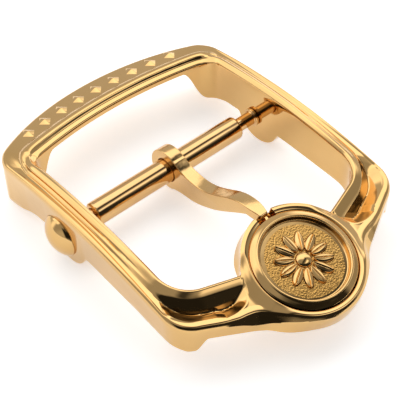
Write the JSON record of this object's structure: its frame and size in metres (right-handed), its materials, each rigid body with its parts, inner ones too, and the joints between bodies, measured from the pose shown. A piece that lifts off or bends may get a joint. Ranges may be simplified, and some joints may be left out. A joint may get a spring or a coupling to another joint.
{
  "type": "watch strap pin buckle",
  "caption": "Arched pin buckle for a watch strap, with a sprung cross bar, a hinged curved tongue and a round medallion seat at the front.",
  "frame": {"origin": "on the axis of the cross bar, midway between the cheeks", "axes": "+X along the cross bar, +Y towards the rear rail (the medallion is towards -Y), +Z away from the wrist"},
  "size_m": [0.0202, 0.027, 0.0053],
  "materials": {
    "gold_polished": "mirror polished, gold plated",
    "gold_medallion": "polished rim, stippled field",
    "gold_bar": "turned and polished, gold plated",
    "spring_steel": "drawn wire"
  },
  "bodies": {
    "frame": {"frame": "gold_polished", "medallion": "gold_medallion", "cap_left": "gold_polished", "cap_right": "gold_polished"},
    "bar": {"bar_tube": "gold_bar", "coil_spring": "spring_steel"},
    "left_pin": {"plunger_left": "gold_bar"},
    "right_pin": {"plunger_right": "gold_bar"},
    "tongue": {"tongue": "gold_polished"}
  },
  "joints": [
    {"name": "bar_spin", "type": "hinge", "parent": "frame", "child": "bar", "pos_m": [0, 0, 0], "axis": [1, 0, 0], "continuous": true},
    {"name": "left_pin_press", "type": "slide", "parent": "bar", "child": "left_pin", "axis": [1, 0, 0], "range_m": [0, 0.0009], "stiffness_N_per_m": 600, "springref_m": -0.001, "deforming": ["coil_spring"]},
    {"name": "right_pin_press", "type": "slide", "parent": "bar", "child": "right_pin", "axis": [-1, 0, 0], "range_m": [0, 0.0009], "stiffness_N_per_m": 600, "springref_m": -0.001, "deforming": ["coil_spring"]},
    {"name": "tongue_swing", "type": "hinge", "parent": "frame", "child": "tongue", "pos_m": [0, 0, 0], "axis": [-1, 0, 0], "range_deg": [0, 136]}
  ]
}
